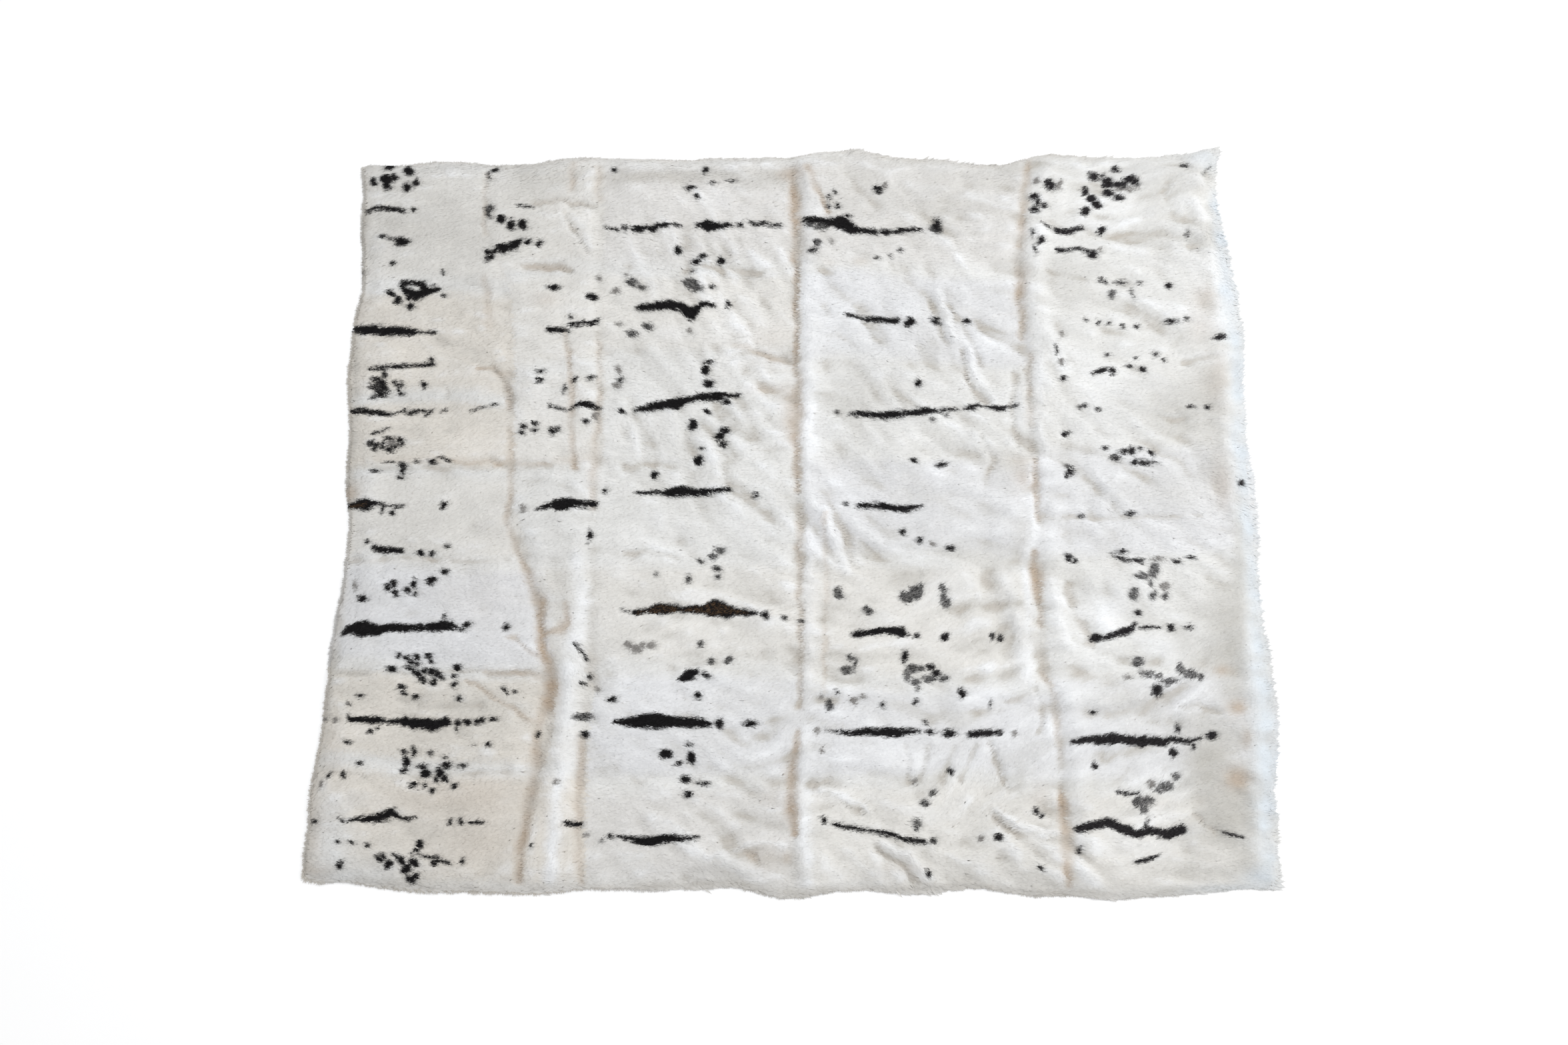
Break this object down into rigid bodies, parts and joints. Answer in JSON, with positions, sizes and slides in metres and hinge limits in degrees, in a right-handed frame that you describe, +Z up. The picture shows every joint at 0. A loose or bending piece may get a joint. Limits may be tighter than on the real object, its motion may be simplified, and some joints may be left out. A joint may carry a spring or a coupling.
{
  "type": "rabbit fur blanket",
  "caption": "Blanket of white rabbit pelts with dark back stripes, sewn in strips with soft seam ridges and a ragged fur rim, lying flat with the fur up.",
  "frame": {"origin": "on the surface that the blanket lies on, under the middle of its box", "axes": "+X across the five strips, from the narrow strips to the wide ones, +Y up along the strips to the edge at the top of the picture, +Z up out of the fur"},
  "size_m": [1.6662, 1.381, 0.036],
  "materials": {
    "fur_warm": "soft yellowish white rabbit fur with near-black stripe and spots",
    "fur_cream": "soft cream rabbit fur with near-black stripe and spots",
    "fur_white": "soft white rabbit fur with near-black stripe and spots",
    "fur_cool": "soft bluish white rabbit fur with near-black stripe and spots",
    "fur_grey": "soft greyish white rabbit fur with near-black stripe and spots"
  },
  "bodies": {
    "root": {"pelt_a1": "fur_cream", "pelt_a2": "fur_warm", "pelt_a3": "fur_warm", "pelt_a4": "fur_cream", "pelt_a5": "fur_cool", "pelt_a6": "fur_warm", "pelt_a7": "fur_warm", "pelt_b1": "fur_cream", "pelt_b2": "fur_cream", "pelt_b3": "fur_cream", "pelt_b4": "fur_white", "pelt_b5": "fur_cream", "pelt_b6": "fur_cream", "pelt_b7": "fur_warm", "pelt_c1": "fur_grey", "pelt_c2": "fur_cream", "pelt_c3": "fur_white", "pelt_c4": "fur_white", "pelt_c5": "fur_cream", "pelt_c6": "fur_cool", "pelt_c7": "fur_grey", "pelt_d1": "fur_grey", "pelt_d2": "fur_cool", "pelt_d3": "fur_white", "pelt_d4": "fur_cool", "pelt_d5": "fur_cream", "pelt_d6": "fur_cool", "pelt_d7": "fur_cream", "pelt_e1": "fur_white", "pelt_e2": "fur_white", "pelt_e3": "fur_white", "pelt_e4": "fur_cool", "pelt_e5": "fur_white", "pelt_e6": "fur_cool", "pelt_e7": "fur_cream"}
  },
  "joints": []
}
